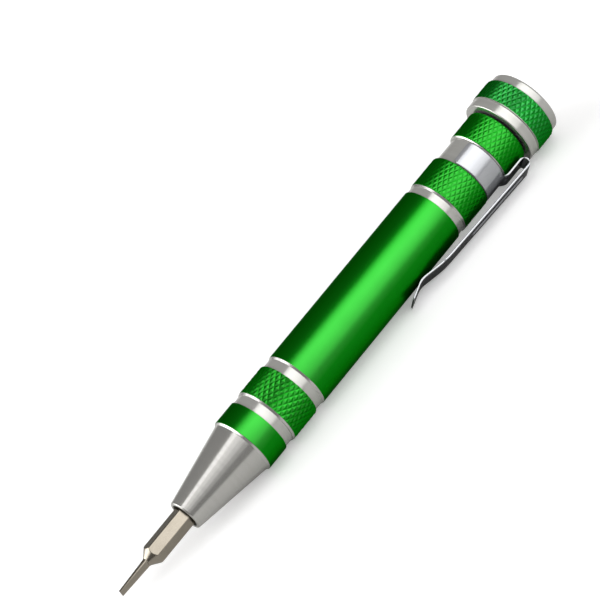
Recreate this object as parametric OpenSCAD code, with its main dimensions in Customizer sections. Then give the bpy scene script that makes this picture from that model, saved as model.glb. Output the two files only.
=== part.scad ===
// Pocket screwdriver with a green anodised barrel, a bare nose for hexagon bits, a sheet spring clip
// and a knurled tail cap that draws a rack of spare bits out of the barrel.
// Millimetres. The origin is the centre of the tail's flat end. +X runs out of the tail, the bit points
// along -X, and +Z is up with the tool lying on the cap and the clip.

/* [Bits] */
// Hexagon across flats
hex_af = 4; // [3.5:0.1:6.35]
// Whole length of a bit
bit_len = 28; // [24:0.5:50]
// Length of the hexagon
hex_len = 18.9; // [14:0.1:22]
// Length of the turned shoulder after the hexagon
shoulder_len = 1.8; // [0.8:0.1:3]
// Round shank of the bit in the nose
shank_d = 1.9; // [1.4:0.1:3]
// Blade width of the bit in the nose
blade_w = 1.5; // [1:0.1:3]
// Blade thickness at the tip
blade_t = 0.35; // [0.2:0.05:0.8]
// Blade thickness at its root for each millimetre at the tip
root_share = 2.4; // [1.5:0.1:3.5]

/* [Bit rack] */
// Thickness of the three webs between the bits
web_t = 0.66; // [0.5:0.02:1.2]
// Thickness of each round plate
plate_t = 1.8; // [1:0.1:3]
// End play of a bit between two plates
bit_play = 0.2; // [0.1:0.05:0.6]
// Room between the bits' corners and the bore
bit_room = 0.18; // [0.12:0.02:0.5]
// Room between the rack and the nose
rack_room = 0.6; // [0.4:0.1:3]
// Stem that hangs the rack in the cap
stem_d = 2.5; // [2:0.1:3]
// Head on the stem's end
head_d = 3.8; // [3.2:0.1:4.6]
// Length of the stem's head
head_len = 1.4; // [1:0.1:2]

/* [Barrel] */
// Wall of the smooth grip
barrel_wall = 1.3; // [1.2:0.05:3]
// Wall left under the clip's band
neck_wall = 0.75; // [0.5:0.05:0.9]
// Depth of the bright grooves
groove_depth = 0.25; // [0.2:0.05:0.5]
// Bevel on the edges of the bands
band_bevel = 0.15; // [0.05:0.05:0.2]
// How far the front knurled band stands above the grip
front_rise = 0.1; // [0:0.02:0.3]
// Knurled band next to the cap
rear_band_len = 6.4; // [4.5:0.1:10]
// Neck under the clip's band
neck_len = 5.6; // [4:0.1:9]
// Knurled band in front of the clip's band
mid_band_len = 7.2; // [4:0.1:12]
// Bright groove in front of that band
rear_groove_len = 1.8; // [1:0.1:3]
// Bright grooves on both sides of the front knurled band
front_groove_len = 2.2; // [1:0.1:3]
// Front knurled band
front_band_len = 6.8; // [4:0.1:12]
// Smooth green ring at the front
front_ring_len = 4.7; // [3:0.1:8]

/* [Nose] */
// Bright lip between the barrel and the cone
lip_len = 0.7; // [0.4:0.1:2]
// Length of the cone
cone_len = 16.4; // [13:0.1:24]
// Step from the barrel down to the cone
cone_step = 0.4; // [0.2:0.05:0.8]
// Wall at the mouth
rim_wall = 0.62; // [0.5:0.02:1.2]
// Rounding of the rim
rim_round = 0.35; // [0.2:0.05:0.45]
// Spigot that sits in the barrel
spigot_len = 8; // [6:0.1:12]
// Depth of the bit in the nose
socket_depth = 9.3; // [7:0.1:12]
// How far the steel sleeve sits back from the mouth
mouth_depth = 1; // [0.4:0.1:2]
// Wall of the steel sleeve at the hexagon's corners
sleeve_wall = 0.4; // [0.3:0.05:0.6]
// Diameter of the magnet
magnet_d = 4; // [3:0.1:4.4]
// Length of the magnet
magnet_len = 3; // [2:0.1:5]

/* [Tail cap] */
// How far the cap's knurl stands out from the grip
cap_rise = 1.45; // [0.8:0.05:3]
// Step from the knurl down to the bright ring
cap_ring_drop = 0.2; // [0.1:0.05:0.4]
// Knurled length of the cap
cap_knurl_len = 4.6; // [3.5:0.1:9]
// Bright ring at the cap's rim
cap_ring_len = 2.2; // [1:0.1:4]
// Visible gap between the cap and the barrel
cap_gap = 0.4; // [0.2:0.05:0.8]
// Length of the threaded plug
plug_len = 7.1; // [6:0.1:10]
// Wall of the plug
plug_wall = 1.5; // [1:0.05:1.8]
// Floor that carries the end disc
cap_floor = 2.6; // [1.5:0.1:3.2]
// Space between the plug and the rack
plug_gap = 2; // [0.5:0.1:4]
// Pitch of the plug's thread
thread_pitch = 0.75; // [0.5:0.05:1]
// Turns that free the cap
thread_turns = 4; // [2:1:5]
// Washer that catches the rack's head
catch_t = 1.4; // [0.8:0.1:2]
// Section of the black seal ring
seal_d = 1; // [0.8:0.05:1.1]

/* [End disc] */
// Thickness of the bright end
end_len = 2; // [1.2:0.1:4]
// Step from the cap's knurl down to the disc
disc_drop = 0.45; // [0.2:0.05:1]
// Rounding of the disc's outer edge
end_round = 0.8; // [0.3:0.05:1]
// Stub that turns in the cap
stub_d = 4; // [3:0.1:5]
// Thickness of the spring ring on the stub
retainer_t = 0.6; // [0.4:0.05:1]
// Depth of the spring ring's groove
retainer_groove = 0.5; // [0.3:0.05:0.8]

/* [Clip] */
// Sheet thickness
sheet_t = 0.42; // [0.3:0.02:0.6]
// Width of the arm
clip_w = 5.3; // [4:0.1:8]
// Angle that the band wraps round the neck
band_span = 225; // [200:1:300]
// Space at each side of the band in the neck
band_margin = 0.15; // [0.05:0.05:0.5]
// Space between the tongue and the rear knurl
tongue_gap = 0.1; // [0.08:0.02:0.6]
// Mean radius of the hairpin bend
hairpin_r = 0.95; // [0.8:0.01:1.8]
// Space between the hairpin and the cap's rim
cap_clear = 1.35; // [0.3:0.05:2]
// Straight length of the arm
arm_len = 25.3; // [18:0.1:40]
// Height of the straight arm's end above the grip
arm_lift = 1.4; // [1:0.1:3]
// Length of the dip to the grip
dip_len = 5.9; // [3:0.1:8]
// Length of the flared tip
tip_len = 4.6; // [3:0.1:8]
// Height of the flared tip above the grip
tip_lift = 1.5; // [1:0.1:3]
// Length of the pressed rib
rib_len = 17; // [8:0.5:24]
// Width of the pressed rib
rib_w = 1.7; // [1:0.1:2.4]
// Height of the pressed rib
rib_rise = 0.22; // [0.1:0.02:0.4]
// Open angle in the hairpin for the arm's spring travel
flex_room = 9; // [7:0.5:20]

/* [Fits] */
// Radial clearance of turning and sliding pieces
run_clear = 0.06; // [0.02:0.01:0.1]
// Axial gap between turning faces
face_gap = 0.1; // [0.05:0.01:0.3]
// Gap left at a touching or seated face
touch_gap = 0.04; // [0.02:0.01:0.1]

/* [Hidden] */
$fn = 96;
eps = 0.01;
bend_root = 5 * eps;
hex_r = hex_af / 2 / cos(30);
bit_seat_r = (hex_af / 2 + web_t / 2 + touch_gap) / sin(60);
bore_r = bit_seat_r + hex_r + bit_room;
barrel_r = bore_r + barrel_wall;
neck_r = bore_r + neck_wall;
front_band_r = barrel_r + front_rise;
groove_r = barrel_r - groove_depth;
plug_r = bore_r - run_clear;
cavity_r = plug_r - plug_wall;
stub_r = stub_d / 2;
seal_r = plug_r + run_clear + seal_d / 2;
seal_seat_r = seal_r + seal_d / 2 + touch_gap;
cap_r = barrel_r + cap_rise;
cap_ring_r = cap_r - cap_ring_drop;
disc_r = cap_r - disc_drop;
sleeve_r = hex_r + run_clear + sleeve_wall;
rim_r = sleeve_r + rim_wall;
cone_r = barrel_r - cone_step;
thread_rise = thread_pitch * thread_turns;

// Stations along the axis, measured from the tail's end towards the bit
z_cap = end_len + face_gap;
z_ring = z_cap + cap_knurl_len;
z_rim = z_ring + cap_ring_len;
z_floor = z_cap + cap_floor;
z_plug = z_rim + plug_len;
z_barrel = z_rim + cap_gap;
z_seal = z_rim + touch_gap + seal_d / 2;
z_seal_seat = z_seal + seal_d / 2 + touch_gap;
z_neck = z_barrel + rear_band_len;
z_mid_band = z_neck + neck_len;
z_rear_groove = z_mid_band + mid_band_len;
z_grip = z_rear_groove + rear_groove_len;
z_rack = z_plug + plug_gap;
tier_len = plate_t + bit_len + bit_play;
z_rack_end = z_rack + 2 * tier_len + plate_t;
z_spigot = z_rack_end + rack_room;
z_front = z_spigot + spigot_len;
z_front_ring = z_front - front_ring_len;
z_front_groove = z_front_ring - front_groove_len;
z_front_band = z_front_groove - front_band_len;
z_mid_groove = z_front_band - front_groove_len;
z_cone = z_front + lip_len;
z_mouth = z_cone + cone_len;
z_seat = z_mouth - socket_depth;
z_retainer = z_floor + face_gap / 2;
z_stub = z_retainer + retainer_t + stub_r / 2;
z_head = z_plug - catch_t - thread_rise - 2 * face_gap;

// Clip, in the plane through the axis: distance along the axis and distance from it
tongue_rho = barrel_r + tongue_gap + sheet_t / 2;
hairpin_z = z_rim + cap_clear + hairpin_r + sheet_t / 2;
hairpin_rho = tongue_rho + hairpin_r;
arm_points = [
    [hairpin_z, hairpin_rho + hairpin_r],
    [hairpin_z + arm_len, barrel_r + arm_lift],
    [hairpin_z + arm_len + dip_len, barrel_r + touch_gap + sheet_t / 2],
    [hairpin_z + arm_len + dip_len + tip_len, barrel_r + tip_lift]
];
arm_slope = atan2(arm_points[1][1] - arm_points[0][1], arm_len);

// The tool lies on the cap and on the clip's edge, so the clip points this far below level
clip_rho = hairpin_rho + hairpin_r + sheet_t / 2;
rest_drop = asin(cap_r / norm([clip_rho, clip_w / 2])) - atan2(clip_w / 2, clip_rho);

green = [0.16, 0.66, 0.22];
bare = [0.82, 0.81, 0.78];
steel = [0.72, 0.70, 0.66];
spring_steel = [0.66, 0.68, 0.72];
black = [0.05, 0.05, 0.05];
grey_plastic = [0.25, 0.26, 0.28];
brass = [0.78, 0.62, 0.30];

// Points of a turned band: both edges bevelled
function band(z0, z1, r) = [
    [r - band_bevel, z0], [r, z0 + band_bevel], [r, z1 - band_bevel], [r - band_bevel, z1]
];

// Points of a turned groove or plain stretch
function stretch(z0, z1, r) = [[r, z0], [r, z1]];

// Points of a rounded corner in a turned outline
function corner(r, z, round, a0, a1) = [
    for (i = [0 : 6]) [r + round * cos(a0 + (a1 - a0) * i / 6), z + round * sin(a0 + (a1 - a0) * i / 6)]
];

// Lays a piece built along the tool's axis into the frame
module lay() {
    rotate([0, -90, 0]) children();
}

// Turns a piece built with the clip along +X to where the clip lies at rest
module at_clip() {
    lay() rotate([0, 0, -90 - rest_drop]) children();
}

module turned(points) {
    rotate_extrude() polygon(points);
}

module barrel() {
    outside = concat(
        band(z_barrel, z_neck, barrel_r),
        stretch(z_neck, z_mid_band, neck_r),
        band(z_mid_band, z_rear_groove, barrel_r),
        stretch(z_rear_groove, z_grip, groove_r),
        band(z_grip, z_mid_groove, barrel_r),
        stretch(z_mid_groove, z_front_band, groove_r),
        band(z_front_band, z_front_groove, front_band_r),
        stretch(z_front_groove, z_front_ring, groove_r),
        band(z_front_ring, z_front, barrel_r)
    );
    inside = [
        [bore_r, z_front], [bore_r, z_seal_seat], [seal_seat_r, z_seal_seat], [seal_seat_r, z_barrel]
    ];
    color(green) lay() turned(concat(outside, inside));
}

module nose_cone() {
    cone_points = corner(rim_r - rim_round, z_mouth - rim_round, rim_round, 0, 90);
    outside = concat(
        [
            [0, z_spigot], [bore_r - band_bevel, z_spigot], [bore_r, z_spigot + band_bevel],
            [bore_r, z_front], [barrel_r, z_front]
        ],
        corner(barrel_r - lip_len / 2, z_cone - lip_len / 2, lip_len / 2, 0, 90),
        [[cone_r, z_cone]],
        cone_points
    );
    inside = [
        [sleeve_r, z_mouth], [sleeve_r, z_seat], [magnet_d / 2, z_seat],
        [magnet_d / 2, z_seat - magnet_len], [0, z_seat - magnet_len]
    ];
    color(bare) lay() turned(concat(outside, inside));
}

module socket_sleeve() {
    color(steel) at_clip() translate([0, 0, z_seat]) difference() {
        cylinder(r = sleeve_r, h = socket_depth - mouth_depth);
        translate([0, 0, -1])
            cylinder(r = hex_r + run_clear, h = socket_depth + 2, $fn = 6);
    }
}

module bit_magnet() {
    color(steel) lay() translate([0, 0, z_seat - magnet_len]) cylinder(d = magnet_d, h = magnet_len);
}

// Hexagon with a bevelled base and a turned shoulder down to the shank
module bit_blank(shank_r) {
    intersection() {
        cylinder(r = hex_r, h = hex_len + shoulder_len, $fn = 6);
        turned([
            [0, 0], [hex_r - 0.3, 0], [hex_r + eps, 0.4], [hex_r + eps, hex_len],
            [shank_r, hex_len + shoulder_len], [0, hex_len + shoulder_len]
        ]);
    }
}

// Round shank ground flat on two sides to a straight blade, with a slope where the grind runs out
module slot_bit(shank_r, width, thickness) {
    neck_z = hex_len + shoulder_len;
    root = root_share * thickness / 2;
    clear = 1.2 * hex_r;
    intersection() {
        union() {
            bit_blank(shank_r);
            turned([
                [0, hex_len], [shank_r, hex_len], [shank_r, neck_z], [width / 2, bit_len], [0, bit_len]
            ]);
        }
        rotate([90, 0, 90]) linear_extrude(height = 4 * hex_r, center = true) polygon([
            [-clear, -1], [clear, -1], [clear, hex_len + 0.4 * shoulder_len], [root, neck_z + root / 2],
            [thickness / 2, bit_len + eps], [-thickness / 2, bit_len + eps], [-root, neck_z + root / 2],
            [-clear, hex_len + 0.4 * shoulder_len]
        ]);
    }
}

// Pointed shank with four flutes
module cross_bit(tip_d) {
    point_len = tip_d * 1.1;
    flute = tip_d * 0.14;
    difference() {
        union() {
            bit_blank(tip_d / 2);
            turned([
                [0, hex_len], [tip_d / 2, hex_len], [tip_d / 2, bit_len - point_len],
                [tip_d * 0.12, bit_len], [0, bit_len]
            ]);
        }
        for (i = [0 : 3])
            rotate([0, 0, 45 + 90 * i])
                translate([0, 0, bit_len - 1.6 * point_len])
                    linear_extrude(height = 2 * point_len)
                        polygon([[flute, 0], [flute + tip_d, tip_d * 0.62], [flute + tip_d, -tip_d * 0.62]]);
    }
}

// Round shank with a six-lobed end
module star_bit(tip_d) {
    lobe_len = 3;
    bit_blank(tip_d / 2);
    translate([0, 0, hex_len])
        cylinder(d = tip_d, h = bit_len - lobe_len - hex_len);
    difference() {
        translate([0, 0, bit_len - lobe_len - eps]) cylinder(d = tip_d, h = lobe_len + eps);
        for (i = [0 : 5])
            rotate([0, 0, 60 * i]) translate([tip_d * 0.53, 0, bit_len - lobe_len])
                cylinder(d = tip_d * 0.28, h = lobe_len + 1);
    }
}

// Small hexagon key end
module hexagon_bit(tip_af) {
    tip_r = tip_af / 2 / cos(30);
    bit_blank(tip_r);
    translate([0, 0, hex_len]) cylinder(r = tip_r, h = bit_len - hex_len, $fn = 6);
}

module driver_bit() {
    color(steel) at_clip() translate([0, 0, z_seat + touch_gap / 2])
        rotate([0, 0, -60]) slot_bit(shank_d / 2, blade_w, blade_t);
}

// Direction of the run that ends at a point of the centre line, or starts at the first one
function run_angle(p, i) =
    let (j = max(i, 1)) atan2(p[j][1] - p[j - 1][1], p[j][0] - p[j - 1][0]);

// One face of the sheet: the centre line moved sideways, with its bends mitred
function sheet_face(p, side) = [
    for (i = [0 : len(p) - 1])
        let (
            a0 = run_angle(p, i),
            a1 = i == len(p) - 1 ? a0 : run_angle(p, i + 1),
            mid = (a0 + a1) / 2,
            reach = side * (sheet_t / 2 - eps) / cos((a1 - a0) / 2)
        )
        [p[i][0] - reach * sin(mid), p[i][1] + reach * cos(mid)]
];

function reverse(list) = [for (i = [len(list) - 1 : -1 : 0]) list[i]];

// Turns what is drawn in the plane through the axis to where the clip's section lies
module in_section() {
    rotate([90, 0, 0]) mirror([1, -1, 0]) children();
}

// Sheet of the clip's width with the given outline. Its ends sit inside the bend that they run into
module sheet(points) {
    in_section() linear_extrude(height = clip_w - 2 * eps, center = true) polygon(points);
}

// Round bend of the sheet about the line that the arm springs on
module bend(a0, a1) {
    in_section() translate([hairpin_z, hairpin_rho, 0]) rotate([0, 0, a0]) rotate_extrude(angle = a1 - a0)
        translate([hairpin_r - sheet_t / 2, -clip_w / 2]) square([sheet_t, clip_w]);
}

module clip_band() {
    band_z = z_neck + band_margin;
    band_r = neck_r + touch_gap;
    tongue_in = tongue_rho - sheet_t / 2 + eps;
    tongue_out = tongue_rho + sheet_t / 2 - eps;
    root_rho = sqrt(pow(neck_r, 2) - pow(clip_w / 2, 2)) - sheet_t;
    root_z = band_z + sheet_t / 4;
    tongue = [
        [hairpin_z - bend_root, tongue_in], [root_z, tongue_in], [root_z, root_rho],
        [root_z + sheet_t, root_rho], [root_z + sheet_t, tongue_out], [hairpin_z - bend_root, tongue_out]
    ];
    color(spring_steel) at_clip() difference() {
        union() {
            rotate([0, 0, -band_span / 2]) rotate_extrude(angle = band_span)
                translate([band_r - sheet_t, band_z]) square([2 * sheet_t, neck_len - 2 * band_margin]);
            sheet(tongue);
            bend(180 + flex_room / 2, 270);
        }
        translate([0, 0, z_barrel]) cylinder(r = band_r, h = z_grip - z_barrel);
    }
}

module clip_arm() {
    rib_r = (pow(rib_w / 2, 2) + pow(rib_rise, 2)) / (2 * rib_rise);
    arm_root = [hairpin_z - bend_root, arm_points[0][1] - bend_root * tan(arm_slope)];
    arm_line = [arm_root, arm_points[1], arm_points[2], arm_points[3]];
    color(spring_steel) at_clip() {
        sheet(concat(sheet_face(arm_line, 1), reverse(sheet_face(arm_line, -1))));
        bend(90, 180 - flex_room / 2);
        translate([arm_points[0][1], 0, arm_points[0][0]]) rotate([0, arm_slope, 0])
            intersection() {
                translate([sheet_t / 2 + rib_rise - rib_r, 0, hairpin_r]) cylinder(r = rib_r, h = rib_len);
                translate([0, -rib_w, hairpin_r - 1]) cube([sheet_t + rib_rise, 2 * rib_w, rib_len + 2]);
            }
    }
}

module tail_cap() {
    outside = concat(
        [[stub_r + run_clear, z_cap]],
        band(z_cap, z_ring, cap_r),
        band(z_ring, z_rim, cap_ring_r),
        [[plug_r, z_rim], [plug_r, z_plug - band_bevel], [plug_r - band_bevel, z_plug]]
    );
    inside = [[cavity_r, z_plug], [cavity_r, z_floor], [stub_r + run_clear, z_floor]];
    color(green) lay() turned(concat(outside, inside));
}

module seal_ring() {
    color(black) lay() rotate_extrude() translate([seal_r, z_seal]) circle(d = seal_d);
}

module end_disc() {
    neck = stub_r - retainer_groove;
    outside = concat(
        [[0, 0]],
        corner(disc_r - end_round, end_round, end_round, -90, 0),
        [
            [disc_r, end_len], [stub_r, end_len], [stub_r, z_retainer], [neck, z_retainer],
            [neck, z_retainer + retainer_t], [stub_r, z_retainer + retainer_t], [stub_r, z_stub], [0, z_stub]
        ]
    );
    color(bare) lay() turned(outside);
}

module disc_retainer() {
    neck = stub_r - retainer_groove;
    ring_r = (stub_r + cavity_r) / 2;
    color(steel) lay() rotate([0, 0, 30]) rotate_extrude(angle = 300)
        translate([neck + touch_gap, z_retainer + touch_gap / 2])
            square([ring_r - neck - touch_gap, retainer_t - touch_gap]);
}

module rack_catch() {
    color(brass) lay() translate([0, 0, z_plug - catch_t]) difference() {
        cylinder(r = cavity_r, h = catch_t);
        translate([0, 0, -1]) cylinder(r = stem_d / 2 + run_clear, h = catch_t + 2);
    }
}

// Two outer corners of a web and the inner corner before the next one
function web_outline(r) = [[r, -web_t / 2], [r, web_t / 2], web_t / sqrt(3) * [cos(60), sin(60)]];

function turn(p, a) = [p[0] * cos(a) - p[1] * sin(a), p[0] * sin(a) + p[1] * cos(a)];

module bit_rack() {
    plate_r = bore_r - run_clear;
    web_r = bore_r - bit_room;
    color(grey_plastic) lay() {
        for (i = [0 : 2])
            translate([0, 0, z_rack + i * tier_len]) cylinder(r = plate_r, h = plate_t);
        translate([0, 0, z_rack + plate_t / 2]) linear_extrude(height = z_rack_end - z_rack - plate_t)
            polygon([for (a = [60, 180, 300], p = web_outline(web_r)) turn(p, a)]);
        turned([
            [0, z_head - head_len], [head_d / 2, z_head - head_len], [head_d / 2, z_head],
            [stem_d / 2, z_head], [stem_d / 2, z_rack + plate_t / 2], [0, z_rack + plate_t / 2]
        ]);
    }
}

// Puts a bit into one channel of one tier of the rack
module in_rack(channel, tier) {
    color(steel) lay() rotate([0, 0, 120 * channel])
        translate([bit_seat_r, 0, z_rack + plate_t + bit_play / 2 + tier * tier_len]) children();
}

barrel();
nose_cone();
socket_sleeve();
bit_magnet();
driver_bit();
clip_band();
clip_arm();
tail_cap();
seal_ring();
end_disc();
disc_retainer();
rack_catch();
bit_rack();
in_rack(0, 0) cross_bit(1.6);  // spare_cross_small
in_rack(1, 0) cross_bit(2.6);  // spare_cross_large
in_rack(2, 0) star_bit(1.7);  // spare_star_small
in_rack(0, 1) star_bit(2.3);  // spare_star_large
in_rack(1, 1) hexagon_bit(2);  // spare_hexagon
in_rack(2, 1) slot_bit(1.25, 2.5, 0.5);  // spare_slot_wide
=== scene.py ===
"""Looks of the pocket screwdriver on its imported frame: green anodised handle, bare nose, spring clip.

Sizes are millimetres and meshes are metres. The tool's axis is X: the tail's flat end is at 0 and the
bit points along -X. A station is a distance from the tail. Angles round the axis start at the clip.
"""

import logging
import math
from collections.abc import Sequence
from dataclasses import dataclass
from enum import Enum
from typing import ClassVar

import bmesh
import bpy
import numpy as np
from mathutils import Matrix, Vector


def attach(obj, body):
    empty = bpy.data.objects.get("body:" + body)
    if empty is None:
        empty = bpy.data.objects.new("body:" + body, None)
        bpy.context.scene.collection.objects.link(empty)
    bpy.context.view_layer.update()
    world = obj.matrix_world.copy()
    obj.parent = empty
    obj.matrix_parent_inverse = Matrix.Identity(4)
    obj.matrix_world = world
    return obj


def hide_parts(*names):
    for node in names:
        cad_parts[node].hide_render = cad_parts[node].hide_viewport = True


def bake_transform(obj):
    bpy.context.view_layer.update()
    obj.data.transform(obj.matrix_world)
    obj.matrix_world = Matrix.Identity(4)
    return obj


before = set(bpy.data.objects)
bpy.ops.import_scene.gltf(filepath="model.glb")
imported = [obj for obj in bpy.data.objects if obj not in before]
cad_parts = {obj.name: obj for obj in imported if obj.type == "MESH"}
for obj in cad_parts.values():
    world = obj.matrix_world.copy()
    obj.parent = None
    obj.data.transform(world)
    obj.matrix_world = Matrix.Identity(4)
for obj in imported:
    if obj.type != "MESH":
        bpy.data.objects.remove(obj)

LOG = logging.getLogger("pocket_screwdriver")
MM = 0.001
WELD = 1e-6
SEAM = 1e-7
SLIVER = 1e-8
TINY = 1e-6
REST_DROP = math.radians(42.2434)
TAIL_WAY = np.array((1.0, 0.0, 0.0))
TAIL_VECTOR = Vector((1.0, 0.0, 0.0))
CLIP_WAY = np.array((0.0, -math.cos(REST_DROP), -math.sin(REST_DROP)))
SIDE_WAY = np.array((0.0, -math.sin(REST_DROP), math.cos(REST_DROP)))

Colour = tuple[float, float, float]
Pair = tuple[float, float]
Node = bpy.types.Node
Object = bpy.types.Object
Socket = bpy.types.NodeSocket
Tree = bpy.types.NodeTree
Wire = Socket | float
Tint = Socket | Colour


class Finish(Enum):
    """Finishes that the pieces of the tool can have."""

    GREEN = "green anodised"
    CAP_GREEN = "cooler green anodised"
    BRIGHT = "bright cut aluminium"
    SATIN = "satin turned aluminium"
    FACED = "faced aluminium"
    STRAP = "polished spring steel"
    NICKEL = "nickel tool steel"
    STEEL = "plain steel"
    RUBBER = "black rubber"
    PLASTIC = "grey moulded plastic"
    BRASS = "turned brass"


def round_way(angle: float | np.ndarray) -> np.ndarray:
    """Unit vectors square to the axis, at angles in radians from the clip towards the upper side."""
    turn = np.asarray(angle, float)[..., None]
    return np.cos(turn) * CLIP_WAY + np.sin(turn) * SIDE_WAY


def tool_points(station: np.ndarray, radius: np.ndarray, angle: np.ndarray) -> np.ndarray:
    """Points in metres from stations and radii in millimetres and angles from the clip in radians."""
    way = round_way(angle)
    return (np.asarray(radius)[..., None] * way - np.asarray(station)[..., None] * TAIL_WAY) * MM


def bend(before: np.ndarray, here: np.ndarray, after: np.ndarray, reach: float, steps: int) -> np.ndarray:
    """Rounds a corner of a line.

    Args:
        before: A point on the line before the corner.
        here: The corner.
        after: A point on the line after the corner.
        reach: How far from the corner the bend starts and ends.
        steps: Number of steps along the bend.

    Returns:
        Points from the bend's start to its end.
    """
    back = (before - here) * reach / np.linalg.norm(before - here)
    ahead = (after - here) * reach / np.linalg.norm(after - here)
    t = np.linspace(0, 1, steps + 1)[:, None]
    return here + (1 - t) ** 2 * back + t**2 * ahead


@dataclass(frozen=True)
class Sizes:
    """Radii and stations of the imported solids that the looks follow."""

    bore_r: float = 5.226
    barrel_r: float = 6.526
    neck_r: float = 5.976
    front_band_r: float = 6.626
    groove_r: float = 6.276
    seal_seat_r: float = 6.266
    plug_r: float = 5.166
    cavity_r: float = 3.666
    cap_r: float = 7.976
    cap_ring_r: float = 7.776
    disc_r: float = 7.526
    sleeve_r: float = 2.769
    rim_r: float = 3.389
    cone_r: float = 6.126
    hex_r: float = 2.309
    z_cap: float = 2.1
    z_ring: float = 6.7
    z_rim: float = 8.9
    z_floor: float = 4.7
    z_plug: float = 16.0
    z_barrel: float = 9.3
    z_seal_seat: float = 9.98
    z_neck: float = 15.7
    z_mid_band: float = 21.3
    z_rear_groove: float = 28.5
    z_grip: float = 30.3
    z_mid_groove: float = 72.5
    z_front_band: float = 74.7
    z_front_groove: float = 81.5
    z_front_ring: float = 83.7
    z_spigot: float = 80.4
    z_front: float = 88.4
    z_mouth: float = 105.5
    z_seat: float = 96.2


SIZES = Sizes()


class Wiring:
    """Adds nodes to a node tree and links them."""

    def __init__(self, tree: Tree) -> None:
        """Starts with the tree to add to."""
        self.tree = tree

    def node(self, kind: str, sources: dict[str | int, Wire] | None = None, **settings: object) -> Node:
        """Adds one node.

        Args:
            kind: Blender's name of the node type.
            sources: What its inputs get, by their names or places.
            settings: Properties of the node to set.

        Returns:
            The new node.
        """
        made = self.tree.nodes.new(kind)
        for key, value in settings.items():
            setattr(made, key, value)
        for key, source in (sources or {}).items():
            self.feed(made.inputs[key], source)
        return made

    def feed(self, socket: Socket, source: Wire | Sequence[float]) -> None:
        """Links a socket to a source, or sets it to a value.

        Args:
            socket: Input socket.
            source: Output socket or plain value.
        """
        if isinstance(source, Socket):
            self.tree.links.new(source, socket)
        else:
            socket.default_value = source

    def sum(self, operation: str, *values: Wire, clamp: bool = False) -> Socket:
        """Adds a Math node over sockets or numbers, clamped to 0 and 1 if asked."""
        made = self.node("ShaderNodeMath", dict(enumerate(values)), operation=operation, use_clamp=clamp)
        return made.outputs[0]

    def spread(self, value: Wire, low: float, high: float, start: float = 0.0, end: float = 1.0) -> Socket:
        """Maps a value from the range of start and end to the range of low and high."""
        ends = {"From Min": start, "From Max": end, "To Min": low, "To Max": high}
        return self.node("ShaderNodeMapRange", {"Value": value, **ends}).outputs["Result"]

    def tint(self, mask: Wire, first: Tint, second: Tint) -> Socket:
        """Mixes two linear colours, or sockets with colours, by a mask that is 1 for the second."""
        pair = [(*colour, 1.0) if isinstance(colour, tuple) else colour for colour in (first, second)]
        return self.node("ShaderNodeMix", {0: mask, 6: pair[0], 7: pair[1]}, data_type="RGBA").outputs[2]


def shader_group(name: str, inputs: dict[str, float | None], outputs: Sequence[str]) -> Tree:
    """Makes an empty shader group with its sockets.

    Args:
        name: Name of the group.
        inputs: Starting value of each input, or None for a vector.
        outputs: Names of the outputs, all plain values.

    Returns:
        The group with its nodes named input and output.
    """
    tree = bpy.data.node_groups.new(name, "ShaderNodeTree")
    for label, start in inputs.items():
        kind = "NodeSocketVector" if start is None else "NodeSocketFloat"
        socket = tree.interface.new_socket(label, in_out="INPUT", socket_type=kind)
        if start is not None:
            socket.default_value = start
    for label in outputs:
        tree.interface.new_socket(label, in_out="OUTPUT", socket_type="NodeSocketFloat")
    tree.nodes.new("NodeGroupInput").name = "input"
    tree.nodes.new("NodeGroupOutput").name = "output"
    return tree


def grain_group() -> Tree:
    """Builds the fine grain of blasted, moulded or rubbed surfaces, in object space.

    Returns:
        Group with a fine value and a broad value.
    """
    tree = shader_group("fine grain", {"Place": None, "Size": 0.1, "Drift": 5.0}, ("Fine", "Broad"))
    wires = Wiring(tree)
    start = tree.nodes["input"].outputs
    for label, size, detail in (("Fine", "Size", 2.0), ("Broad", "Drift", 3.0)):
        scale = wires.sum("DIVIDE", 1.0 / MM, start[size])
        sources = {"Vector": start["Place"], "Scale": scale, "Detail": detail}
        noise = wires.node("ShaderNodeTexNoise", sources, noise_dimensions="3D")
        wires.feed(tree.nodes["output"].inputs[label], noise.outputs[0])
    return tree


def turning_group() -> Tree:
    """Builds the fine lines that a turning tool leaves round a piece.

    Returns:
        Group with a line height and a broader tone, both along the turned outline.
    """
    tree = shader_group("turning lines", {"Along": 0.0, "Pitch": 0.1, "Bands": 1.0}, ("Lines", "Tone"))
    wires = Wiring(tree)
    start = tree.nodes["input"].outputs
    for label, size, detail in (("Lines", "Pitch", 1.0), ("Tone", "Bands", 2.0)):
        sources = {"W": wires.sum("DIVIDE", start["Along"], start[size]), "Scale": 1.0, "Detail": detail}
        noise = wires.node("ShaderNodeTexNoise", sources, noise_dimensions="1D")
        wires.feed(tree.nodes["output"].inputs[label], noise.outputs[0])
    return tree


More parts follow.
